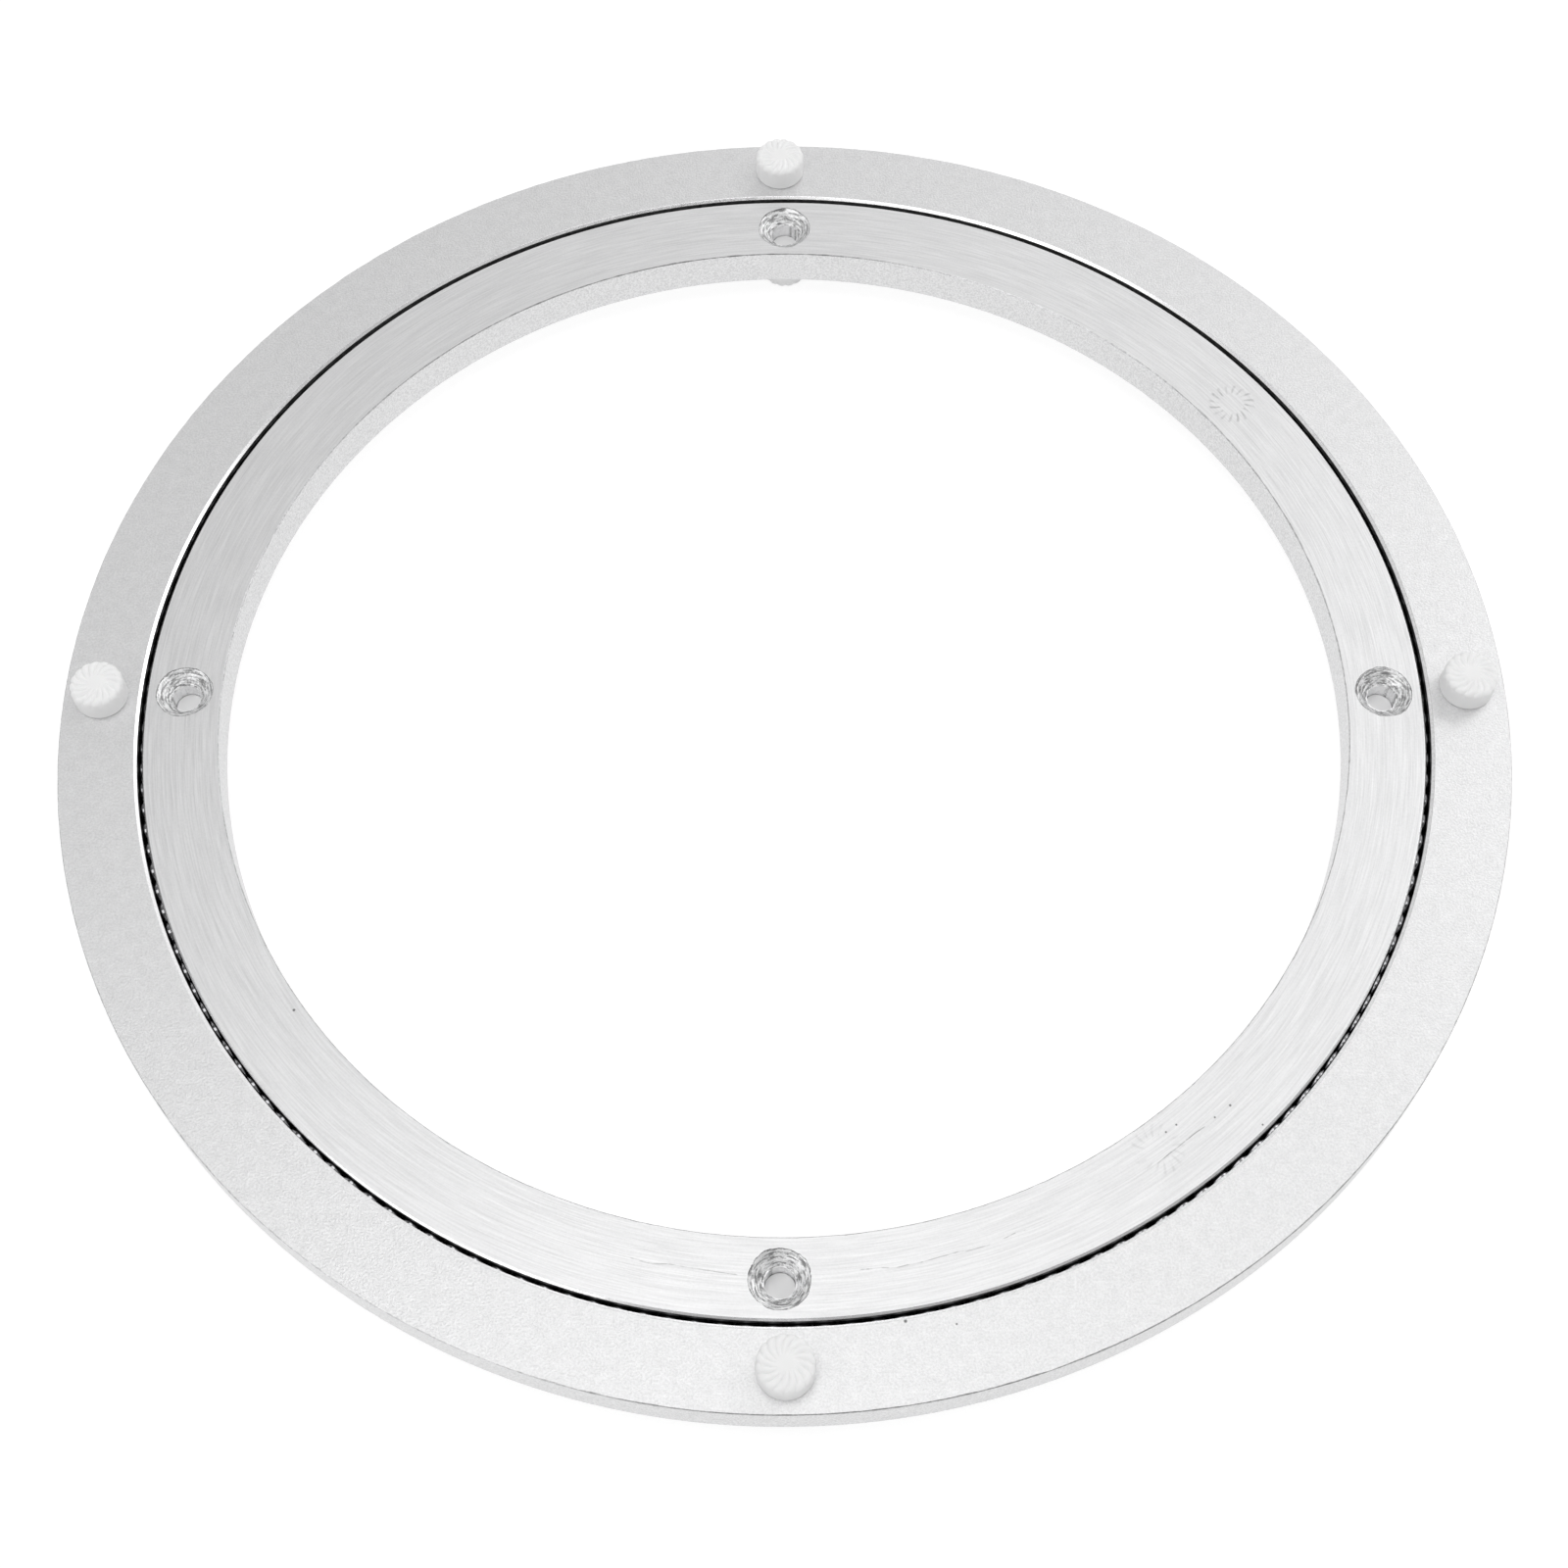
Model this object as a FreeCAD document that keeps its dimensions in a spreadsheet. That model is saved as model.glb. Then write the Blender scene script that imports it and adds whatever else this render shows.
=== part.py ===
import FreeCAD, Part
import math
import os
import re
import Sketcher

# Lazy susan bearing: two flat turned rings, one inside the other, that turn on a full
# circle of small steel balls. The inner ring stands on four push-in feet, and the outer
# ring carries four push-in pads on its top. Millimetres, Z up, origin on the axis at the
# soles of the feet, +X through a screw hole.

# The driving sizes: name, value in millimetres unless the note says otherwise, note
SIZES = (
    ("bore_radius", "117", "open middle, to the inner ring's wall"),
    ("inner_ring_width", "15.8", "radial width of the inner ring"),
    ("ring_gap", "1", "open slit between the two rings"),
    ("outer_ring_width", "16.2", "radial width of the outer ring"),
    ("ring_height", "9", "both rings, faces flush"),
    ("inner_gap_chamfer", "0.35", "inner ring's edges along the slit"),
    ("outer_gap_chamfer", "0.55", "outer ring's edges along the slit"),
    ("ball_size", "4.7625", "ball diameter, 3/16 inch"),
    ("ball_spacing", "0.02", "least room between two neighbouring balls"),
    ("race_clearance", "0.04", "ball to race flank"),
    ("screw_hole_count", "4", "in each ring, a count"),
    ("screw_hole_size", "6", "hole diameter"),
    ("countersink_size", "11.8", "diameter at the face"),
    ("countersink_angle", "90", "full angle of the cone, degrees"),
    ("pad_size", "11", "head diameter of the pads and feet"),
    ("pad_height", "5.9", "head height of the pads and feet"),
    ("stem_length", "2.9", "how far a pad reaches into its hole"),
    ("stem_ease", "0.05", "stem to hole wall"),
    ("flute_count", "16", "swirl flutes in a pad's face, a count"),
    ("flute_depth", "0.6", "below the pad's face"),
    ("flute_start", "1.9", "radius where a flute runs out"),
    ("flute_twist", "26", "how far a flute turns on its way in, degrees"),
    ("flute_spread", "9", "width of a flute at the rim, degrees"),
    ("filler_hole_size", "5.2", "hole that the balls are fed through"),
    ("filler_angle", "135", "where it lies, degrees from +X"),
    ("plug_ease", "0.03", "filler plug to its hole"),
    ("rest_turn", "0.45", "how far the outer ring stands turned at rest, degrees"),
)
SIZE_NAMES = re.compile(r"\b(" + "|".join(name for name, _, _ in SIZES) + r")\b")

# Places that several pieces share, as expressions of those sizes
RING_BOTTOM = "pad_height"
RING_TOP = "pad_height + ring_height"
RING_MIDDLE = "pad_height + ring_height / 2"
BORE_WALL = "bore_radius"
SLIT_INSIDE = "bore_radius + inner_ring_width"
PITCH_RADIUS = "bore_radius + inner_ring_width + ring_gap / 2"
SLIT_OUTSIDE = "bore_radius + inner_ring_width + ring_gap"
RIM = "bore_radius + inner_ring_width + ring_gap + outer_ring_width"
INNER_HOLE_RADIUS = "bore_radius + inner_ring_width / 2"
OUTER_HOLE_RADIUS = "bore_radius + inner_ring_width + ring_gap + outer_ring_width / 2"
# A vee race with flanks at 45 degrees reaches this far from the ball's centre
RACE_REACH = "(ball_size / 2 + race_clearance) * sqrt(2)"

doc = FreeCAD.newDocument("lazy_susan_bearing")
sheet = doc.addObject("Spreadsheet::Sheet", "Sizes")
for row, (name, value, note) in enumerate(SIZES, start=1):
    sheet.set(f"A{row}", name)
    sheet.set(f"B{row}", value)
    sheet.setAlias(f"B{row}", name)
    sheet.set(f"C{row}", note)
doc.recompute()


def size(name):
    """One driving size as a number."""
    return float(sheet.get(name))


def bound(text):
    """An expression of size names, with each name pointed at the sheet."""
    return SIZE_NAMES.sub(r"Sizes.\1", text)


def origin_feature(body, role):
    """The body's own origin plane or axis with this role."""
    return next(f for f in body.Origin.OriginFeatures if f.Role == role)


def new_sketch(body, name, role, lift=None):
    """A sketch on one of the body's origin planes, raised by an expression."""
    sketch = body.newObject("Sketcher::SketchObject", name)
    sketch.AttachmentSupport = (origin_feature(body, role), [""])
    sketch.MapMode = "FlatFace"
    if lift:
        sketch.setExpression("AttachmentOffset.Base.z", bound(lift))
    return sketch


def pin_point(sketch, element, point, x, y):
    """Holds a sketch point at two expressions; "0" puts it on an axis."""
    for kind, text, axis in (("DistanceX", x, -2), ("DistanceY", y, -1)):
        if text == "0":
            sketch.addConstraint(Sketcher.Constraint("PointOnObject", element, point, axis))
            continue
        index = sketch.addConstraint(
            Sketcher.Constraint(kind, -1, 1, element, point, 10.0)
        )
        sketch.setExpression(f"Constraints[{index}]", bound(text))


def draw_outline(sketch, corners):
    """A closed outline through corners, each an (x, y) pair of expressions.

    The lines start on a small circle, and their constraints then take each corner to
    its place.
    """
    count = len(corners)
    start = [
        FreeCAD.Vector(10 + math.cos(math.tau * k / count), 10 + math.sin(math.tau * k / count))
        for k in range(count)
    ]
    for k in range(count):
        sketch.addGeometry(Part.LineSegment(start[k], start[(k + 1) % count]))
    for k in range(count):
        sketch.addConstraint(Sketcher.Constraint("Coincident", k, 2, (k + 1) % count, 1))
    for k, (x, y) in enumerate(corners):
        pin_point(sketch, k, 1, x, y)


def revolve(body, kind, name, corners):
    """Turns an outline in the XZ plane about the body's Z axis, to add or to cut."""
    sketch = new_sketch(body, name + "_outline", "XZ_Plane")
    draw_outline(sketch, corners)
    feature = body.newObject(f"PartDesign::{kind}", name)
    feature.Profile = sketch
    feature.ReferenceAxis = (sketch, ["V_Axis"])
    feature.Angle = 360
    sketch.Visibility = False
    return feature


def polar_pattern(body, name, feature, sketch, count):
    """Repeats a feature evenly round the body's Z axis and makes it the body's tip."""
    pattern = body.newObject("PartDesign::PolarPattern", name)
    pattern.Originals = [feature]
    pattern.Axis = (sketch, ["N_Axis"])
    pattern.Angle = 360
    pattern.setExpression("Occurrences", bound(count))
    body.Tip = pattern
    return pattern


def drill_screw_holes(body, radius, face, from_below):
    """Countersunk holes through a ring, evenly round it, from one of its faces."""
    sketch = new_sketch(body, "screw_hole_centre", "XY_Plane", face)
    sketch.addGeometry(Part.Circle(FreeCAD.Vector(10, 0, 0), FreeCAD.Vector(0, 0, 1), 1))
    pin_point(sketch, 0, 3, radius, "0")
    index = sketch.addConstraint(Sketcher.Constraint("Diameter", 0, 2.0))
    sketch.setExpression(f"Constraints[{index}]", bound("screw_hole_size"))
    doc.recompute()
    hole = body.newObject("PartDesign::Hole", "screw_hole")
    hole.Profile = sketch
    hole.DepthType = "ThroughAll"
    hole.Reversed = from_below
    hole.setExpression("Diameter", bound("screw_hole_size"))
    hole.HoleCutType = "Countersink"
    hole.HoleCutCustomValues = True
    hole.setExpression("HoleCutDiameter", bound("countersink_size"))
    hole.setExpression("HoleCutCountersinkAngle", bound("countersink_angle"))
    doc.recompute()
    polar_pattern(body, "screw_holes", hole, sketch, "screw_hole_count")


def turned_ring(name, outline, race):
    """A flat ring turned from one outline, with its ball race cut in one wall."""
    body = doc.addObject("PartDesign::Body", name)
    revolve(body, "Revolution", "turned_form", outline)
    doc.recompute()
    revolve(body, "Groove", "ball_race", race)
    doc.recompute()
    return body


def make_inner_ring():
    """The fixed ring: race in its outer wall, holes countersunk from above."""
    outline = (
        (BORE_WALL, RING_BOTTOM),
        (SLIT_INSIDE, RING_BOTTOM),
        (SLIT_INSIDE, f"{RING_TOP} - inner_gap_chamfer"),
        (f"{SLIT_INSIDE} - inner_gap_chamfer", RING_TOP),
        (BORE_WALL, RING_TOP),
    )
    race = (
        (f"{PITCH_RADIUS} - {RACE_REACH}", RING_MIDDLE),
        (PITCH_RADIUS, f"{RING_MIDDLE} - {RACE_REACH}"),
        (PITCH_RADIUS, f"{RING_MIDDLE} + {RACE_REACH}"),
    )
    body = turned_ring("inner_ring", outline, race)
    drill_screw_holes(body, INNER_HOLE_RADIUS, RING_TOP, from_below=False)
    return body


def make_outer_ring_and_plug():
    """The turning ring, its race in the inner wall, and the plug of its filler hole.

    The plug was in place when the race was turned, so its end follows the race and its
    head follows the rim.
    """
    outline = (
        (SLIT_OUTSIDE, RING_BOTTOM),
        (RIM, RING_BOTTOM),
        (RIM, RING_TOP),
        (f"{SLIT_OUTSIDE} + outer_gap_chamfer", RING_TOP),
        (SLIT_OUTSIDE, f"{RING_TOP} - outer_gap_chamfer"),
    )
    race = (
        (f"{PITCH_RADIUS} + {RACE_REACH}", RING_MIDDLE),
        (PITCH_RADIUS, f"{RING_MIDDLE} + {RACE_REACH}"),
        (PITCH_RADIUS, f"{RING_MIDDLE} - {RACE_REACH}"),
    )
    blank = turned_ring("outer_ring_blank", outline, race)
    drill_screw_holes(blank, OUTER_HOLE_RADIUS, RING_BOTTOM, from_below=True)

    drill = radial_rod("filler_hole", "filler_hole_size / 2")
    rod = radial_rod("plug_rod", "filler_hole_size / 2 - plug_ease")
    ring = doc.addObject("Part::Cut", "outer_ring")
    ring.Base = blank
    ring.Tool = drill
    plug = doc.addObject("Part::Common", "ball_filler_plug")
    plug.Base = blank
    plug.Tool = rod
    for piece in (ring, plug):
        piece.setExpression("Placement.Rotation.Angle", bound("rest_turn * 1deg"))
    return ring, plug


def radial_rod(name, radius):
    """A round rod that lies along the filler hole, from the ball circle to past the rim."""
    rod = doc.addObject("Part::Cylinder", name)
    outward = FreeCAD.Rotation(FreeCAD.Vector(0, 1, 0), 90)
    turn = FreeCAD.Rotation(FreeCAD.Vector(0, 0, 1), size("filler_angle"))
    rod.Placement = FreeCAD.Placement(FreeCAD.Vector(), turn * outward)
    rod.setExpression("Radius", bound(radius))
    rod.setExpression("Height", bound("ring_gap / 2 + outer_ring_width + 1"))
    for letter, ratio in (("x", "cos"), ("y", "sin")):
        text = f"({PITCH_RADIUS}) * {ratio}(filler_angle * 1deg)"
        rod.setExpression(f"Placement.Base.{letter}", bound(text))
    rod.setExpression("Placement.Base.z", bound(RING_MIDDLE))
    return rod


def make_push_pad(name, circle_radius, angle, base_z, is_foot):
    """A moulded soft pad: a round head with a fluted face and a stem for a screw hole.

    Its own Z runs from the stem's end to the face of the head. The swirl flutes run out
    through the edge of the head and leave it scalloped. A foot is the same moulding,
    turned over. The angle is an expression in degrees.
    """
    body = doc.addObject("PartDesign::Body", name)
    stem_radius = "screw_hole_size / 2 - stem_ease"
    face = "stem_length + pad_height"
    revolve(
        body,
        "Revolution",
        "moulded_form",
        (
            ("0", "0"),
            (stem_radius, "0"),
            (stem_radius, "stem_length"),
            ("pad_size / 2", "stem_length"),
            ("pad_size / 2", face),
            ("0", face),
        ),
    )
    doc.recompute()
    cut_flutes(body, face)
    flip = FreeCAD.Rotation(FreeCAD.Vector(1, 0, 0), 180 if is_foot else 0)
    body.Placement = FreeCAD.Placement(FreeCAD.Vector(), flip)
    for letter, ratio in (("x", "cos"), ("y", "sin")):
        text = f"({circle_radius}) * {ratio}(({angle}) * 1deg)"
        body.setExpression(f"Placement.Base.{letter}", bound(text))
    body.setExpression("Placement.Base.z", bound(base_z))
    return body


def cut_flutes(body, face):
    """Swirl flutes in the face of a pad: straight-sided wedges, set askew, evenly round."""
    sketch = new_sketch(body, "flute_outline", "XY_Plane", face)
    past_rim = "(pad_size / 2 + 1)"
    draw_outline(
        sketch,
        (
            ("flute_start * cos(flute_twist * 1deg)", "flute_start * sin(flute_twist * 1deg)"),
            (past_rim, "0"),
            (
                f"{past_rim} * cos(flute_spread * 1deg)",
                f"{past_rim} * sin(flute_spread * 1deg)",
            ),
        ),
    )
    flute = body.newObject("PartDesign::Pocket", "flute")
    flute.Profile = sketch
    flute.setExpression("Length", bound("flute_depth"))
    doc.recompute()
    polar_pattern(body, "flutes", flute, sketch, "flute_count")


def make_pads_and_feet():
    """One pad on top of the outer ring and one foot under the inner ring at each hole."""
    pieces = []
    count = round(size("screw_hole_count"))
    for k in range(count):
        angle = 360 / count * k
        pieces.append(
            make_push_pad(
                f"top_pad_{k + 1}",
                OUTER_HOLE_RADIUS,
                f"{angle:g} + rest_turn",
                f"{RING_TOP} - stem_length",
                is_foot=False,
            )
        )
        pieces.append(
            make_push_pad(
                f"foot_{k + 1}",
                INNER_HOLE_RADIUS,
                f"{angle:g}",
                f"{RING_BOTTOM} + stem_length",
                is_foot=True,
            )
        )
    return pieces


def ball_solid(radius):
    """A ball of 24 flat faces, all corners on the sphere: a cube with a low point on each
    side.

    It is turned so that the six points lie where the ball meets the four race flanks and
    its two neighbours.
    """
    sides = (
        FreeCAD.Vector(1, 0, 1).normalize(),
        FreeCAD.Vector(0, 1, 0),
        FreeCAD.Vector(-1, 0, 1).normalize(),
    )
    faces = []
    for k in range(3):
        for sign in (1, -1):
            point = sides[k] * sign
            across, along = sides[k - 1], sides[k - 2]
            square = [
                (point + across * a + along * b).normalize()
                for a, b in ((1, 1), (-1, 1), (-1, -1), (1, -1))
            ]
            for j in range(4):
                corners = [v * radius for v in (point, square[j], square[j - 1])]
                faces.append(Part.Face(Part.makePolygon(corners + corners[:1])))
    return Part.Solid(Part.Shell(faces))


def make_balls():
    """The full circle of balls, as many as the pitch circle holds, evenly spread."""
    pitch = size("bore_radius") + size("inner_ring_width") + size("ring_gap") / 2
    middle = size("pad_height") + size("ring_height") / 2
    count = int(math.tau * pitch / (size("ball_size") + size("ball_spacing")))
    ball = ball_solid(size("ball_size") / 2)
    ball.translate(FreeCAD.Vector(pitch, 0, middle))
    balls = []
    for k in range(count):
        copy = ball.copy()
        copy.rotate(FreeCAD.Vector(), FreeCAD.Vector(0, 0, 1), 360 / count * k)
        balls.append(copy)
    feature = doc.addObject("Part::Feature", "bearing_balls")
    feature.Shape = Part.makeCompound(balls)
    return feature


def check_document():
    """Stops if any object of the document failed to compute."""
    for item in doc.Objects:
        if "Invalid" in item.State or "Error" in item.State:
            raise RuntimeError(f"{item.Label} did not compute: {item.State}")


def write_pieces(pieces):
    """Writes each piece to a STEP file named after it, once all of them are sound."""
    for piece in pieces:
        if piece.Shape.isNull() or not piece.Shape.isValid():
            raise RuntimeError(f"{piece.Label} has no valid shape")
        if not piece.Shape.Solids:
            raise RuntimeError(f"{piece.Label} has no solid")
    os.makedirs("parts", exist_ok=True)
    for piece in pieces:
        piece.Shape.exportStep(os.path.join("parts", piece.Label + ".step"))
        print(f"{piece.Label}: {len(piece.Shape.Solids)} solid, {piece.Shape.Volume:.1f} mm3")


inner_ring = make_inner_ring()
outer_ring, filler_plug = make_outer_ring_and_plug()
pads_and_feet = make_pads_and_feet()
balls = make_balls()
doc.recompute()
check_document()
write_pieces([inner_ring, outer_ring, filler_plug, balls, *pads_and_feet])
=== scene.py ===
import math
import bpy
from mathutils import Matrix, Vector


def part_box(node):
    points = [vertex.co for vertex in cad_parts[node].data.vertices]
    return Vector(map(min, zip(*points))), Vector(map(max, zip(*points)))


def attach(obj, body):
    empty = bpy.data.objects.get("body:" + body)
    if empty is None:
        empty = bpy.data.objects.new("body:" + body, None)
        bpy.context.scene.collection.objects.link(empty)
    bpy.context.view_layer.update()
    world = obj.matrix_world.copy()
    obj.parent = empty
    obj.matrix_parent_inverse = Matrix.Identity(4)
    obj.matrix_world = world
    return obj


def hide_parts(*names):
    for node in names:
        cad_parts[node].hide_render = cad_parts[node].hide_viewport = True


bl_info = {
    "name": "Ring Bearing Finish",
    "version": (1, 0, 0),
    "blender": (4, 5, 0),
    "location": "3D View > Sidebar > Bearing",
    "description": "Dresses a packed lazy susan bearing with machined rings, balls, pads and a studio",
    "category": "Object",
}

import bmesh
import bpy
from bpy.props import FloatProperty, FloatVectorProperty, IntProperty, PointerProperty
from mathutils import Matrix, Vector, noise

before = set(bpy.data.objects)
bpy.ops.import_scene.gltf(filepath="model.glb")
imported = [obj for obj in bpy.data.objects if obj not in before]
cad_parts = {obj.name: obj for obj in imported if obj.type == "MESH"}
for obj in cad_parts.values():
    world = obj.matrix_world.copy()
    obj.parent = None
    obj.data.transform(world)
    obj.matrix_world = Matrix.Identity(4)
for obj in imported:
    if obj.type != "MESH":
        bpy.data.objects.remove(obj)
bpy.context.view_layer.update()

MM = 0.001
# Each ring has its holes and pads at the quarters of a circle
QUARTERS = 4
# Rounding of a corner that was only deburred
SOFT = 0.05 * MM
RING_SEGMENTS = 720
PAD_SEGMENTS = 256

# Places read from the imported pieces
inner_low, inner_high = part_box("inner_ring")
outer_low, outer_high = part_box("outer_ring")
plug_low, plug_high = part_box("ball_filler_plug")
RING_LOW = outer_low.z
RING_HIGH = outer_high.z
RING_MIDDLE = (RING_LOW + RING_HIGH) / 2
RIM = min(outer_high.x, outer_high.y, -outer_low.x, -outer_low.y)
SLIT_INSIDE = inner_high.x
FILLER_ANGLE = math.atan2(plug_low.y + plug_high.y, plug_low.x + plug_high.x)

# Places of the finishes in a ring's list of materials
FACE, PAINTED_SLIT_SHADE, CUT_EDGE, WALL, PAINTED_DARK_EDGE = range(5)

# Marks of handling: (radius, first angle, last angle, strength) of a scratch along the
# turning lines, and (radius, angle, size) of a dark speck, in millimetres and degrees
INNER_SCRATCHES = (
    (124.1, -102.7, -93.8, 0.35),
    (124.3, -83.0, -72.0, 0.35),
    (124.3, -70.5, -68.6, 0.45),
    (124.5, -55.2, -50.0, 0.5),
    (139.9, -134.6, -132.6, 0.3),
)
INNER_SPECKS = (
    (118.9, -142.9, 0.35),
    (120.8, -52.9, 0.25),
    (120.9, -51.7, 0.25),
    (124.5, -48.6, 0.25),
    (124.8, -46.8, 0.3),
    (131.6, -46.1, 0.25),
)
OUTER_SPECKS = (
    (134.7, -80.2, 0.4),
    (137.1, -76.4, 0.25),
)
# Where a pad has left its print on the inner ring: ((radius, angle), strength)
PAD_IMPRINTS = (
    ((124.06, 36.65), 0.3),
    ((122.6, -54.5), 0.12),
)

# The stage in metres: the two lamps, and the curved stretches of the room that the metal
# mirrors, as (name, angles of both ends, height of the foot, height of the top at both
# ends, the studio setting for how bright it is, its share of that)
OVERHEAD_LAMP = (-0.12, -0.05, 1.3)
SIDE_LAMP = (0.86, 0.52, 0.78)
ROOM_REACH = 1.5
ROOM = (
    ("dim_room", (250, 345), 0.0, (0.7, 1.9), "dim_side", 1.0),
    ("dim_corner", (342, 372), 1.35, (3.0, 3.0), "dim_side", 1.0),
    ("left_window", (126, 200), 0.6, (1.2, 3.2), "window", 0.4),
    ("low_window", (210, 248), 0.18, (0.43, 0.43), "window", 1.0),
    ("high_window", (200, 250), 0.97, (5.0, 1.4), "window", 1.0),
)
# The sky is white up to the first of these heights, where straight up is 1, and has the
# ceiling's tone from the second
SKY_WHITE = 0.35
SKY_CEILING = 0.65

# The camera: its place from the middle of the rings' top, in millimetres, its yaw, tilt and
# roll in degrees, and the shift of its picture
CAMERA_PLACE = (3.468, -249.490, 425.713)
CAMERA_TURN = (1.456, 27.444, -1.258)
CAMERA_SHIFT = (0.00811, 0.01862)


def polar_place(radius, turn, height):
    """The place at that radius, turn in degrees and height."""
    angle = math.radians(turn)
    return Vector((radius * math.cos(angle), radius * math.sin(angle), height))


# Sizes and colours that a user would change
class RingSizes(bpy.types.PropertyGroup):
    inner_width: FloatProperty(
        name="Inner ring width",
        description="Width of the inner ring's flat, from the bore to the slit",
        default=15.8 * MM, unit="LENGTH", precision=5)
    slit: FloatProperty(
        name="Slit",
        description="Gap between the two rings",
        default=1.0 * MM, unit="LENGTH", precision=5)
    edge_break: FloatProperty(
        name="Edge break",
        description="Width of the small chamfer that breaks the bore's and the rim's edges",
        default=0.18 * MM, unit="LENGTH", precision=5)
    inner_chamfer: FloatProperty(
        name="Inner slit chamfer",
        description="Chamfer of the inner ring along the slit",
        default=0.42 * MM, unit="LENGTH", precision=5)
    outer_chamfer: FloatProperty(
        name="Outer slit chamfer",
        description="Width of the outer ring's chamfer along the slit, seen from above",
        default=0.62 * MM, unit="LENGTH", precision=5)
    outer_chamfer_depth: FloatProperty(
        name="Outer slit chamfer depth",
        description="How deep the outer ring's chamfer runs down into the slit",
        default=0.4 * MM, unit="LENGTH", precision=5)
    hole: FloatProperty(
        name="Screw hole",
        description="Diameter of a screw hole",
        default=6.0 * MM, unit="LENGTH", precision=5)
    countersink: FloatProperty(
        name="Countersink",
        description="Diameter of a countersink at the ring's face",
        default=11.8 * MM, unit="LENGTH", precision=5)
    chatter: FloatProperty(
        name="Chatter",
        description="Height of the ridges that the countersink tool left",
        default=0.15 * MM, unit="LENGTH", precision=6)
    chatter_pitch: FloatProperty(
        name="Chatter pitch",
        description="Distance from one ridge of the countersink to the next",
        default=0.45 * MM, unit="LENGTH", precision=6)
    lip: FloatProperty(
        name="Lip",
        description="Width of the bright land round a screw hole, at the foot of its countersink",
        default=0.2 * MM, unit="LENGTH", precision=5)
    filler_hole: FloatProperty(
        name="Filler hole",
        description="Diameter of the hole that the balls were fed through",
        default=5.2 * MM, unit="LENGTH", precision=5)


class BallSizes(bpy.types.PropertyGroup):
    diameter: FloatProperty(
        name="Ball diameter",
        description="Diameter of one ball",
        default=4.7625 * MM, unit="LENGTH", precision=6)
    clearance: FloatProperty(
        name="Race clearance",
        description="Gap between a ball and the flanks of the race",
        default=0.04 * MM, unit="LENGTH", precision=6)
    count: IntProperty(
        name="Ball count",
        description="Balls in the full circle",
        default=175, min=3)


class PadSizes(bpy.types.PropertyGroup):
    lobes: IntProperty(
        name="Lobes",
        description="Swirled lobes round the top of one pad",
        default=16, min=3)
    groove_depth: FloatProperty(
        name="Groove depth",
        description="Depth of the grooves between two lobes",
        default=0.45 * MM, unit="LENGTH", precision=6)
    shoulder: FloatProperty(
        name="Shoulder",
        description="Radius that the lobes round over at the pad's rim",
        default=1.3 * MM, unit="LENGTH", precision=5)
    twist: FloatProperty(
        name="Twist",
        description="Turn of a groove from its start to the pad's rim",
        default=math.radians(26), unit="ROTATION", subtype="ANGLE")
    calm_centre: FloatProperty(
        name="Calm centre",
        description="Radius of the smooth middle of the pad",
        default=1.5 * MM, unit="LENGTH", precision=5)


class Finishes(bpy.types.PropertyGroup):
    aluminium: FloatVectorProperty(
        name="Aluminium",
        description="Colour of the rings' bare aluminium",
        default=(0.84, 0.84, 0.845), subtype="COLOR", size=3, min=0, max=1)
    # Painted shade: the balls' colour is kept dark so that they and their glints look shaded in the
    # slit.
    steel: FloatVectorProperty(
        name="Ball steel",
        description="Colour of the polished balls under their film of dark grease",
        default=(0.33, 0.33, 0.34), subtype="COLOR", size=3, min=0, max=1)
    rubber: FloatVectorProperty(
        name="Rubber",
        description="Colour of the white pads and feet",
        default=(0.9, 0.9, 0.9), subtype="COLOR", size=3, min=0, max=1)


class Studio(bpy.types.PropertyGroup):
    overhead_power: FloatProperty(
        name="Overhead power",
        description="Power of the soft lamp overhead",
        default=3.3, unit="POWER")
    overhead_width: FloatProperty(
        name="Overhead width",
        description="Side of the square lamp overhead",
        default=0.72, unit="LENGTH", subtype="DISTANCE")
    side_power: FloatProperty(
        name="Side power",
        description="Power of the soft lamp on the right",
        default=1.5, unit="POWER")
    side_width: FloatProperty(
        name="Side width",
        description="Side of the square lamp on the right",
        default=0.5, unit="LENGTH", subtype="DISTANCE")
    ceiling: FloatProperty(
        name="Ceiling",
        description="How bright the room straight overhead looks in the metal, where white is 1",
        default=0.32, min=0)
    ceiling_tilt: FloatVectorProperty(
        name="Ceiling tilt",
        description="How much brighter the ceiling gets towards the right and the back",
        default=(1.2, 0.6, 0.0), size=3)
    ceiling_floor: FloatProperty(
        name="Darkest ceiling",
        description="How bright the ceiling's darkest corner looks in the metal",
        default=0.14, min=0)
    dim_side: FloatProperty(
        name="Dim side",
        description="How bright the room behind the camera and on its right looks in the metal",
        default=0.5, min=0)
    window: FloatProperty(
        name="Window",
        description="How bright the windows on the left look in the metal",
        default=2.0, min=0)
    sky: FloatProperty(
        name="Sky strength",
        description="Strength of the even light from all round",
        default=0.72, min=0)
    lens: FloatProperty(
        name="Lens",
        description="Focal length of the camera in millimetres",
        default=54.3526, unit="CAMERA")


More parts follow.
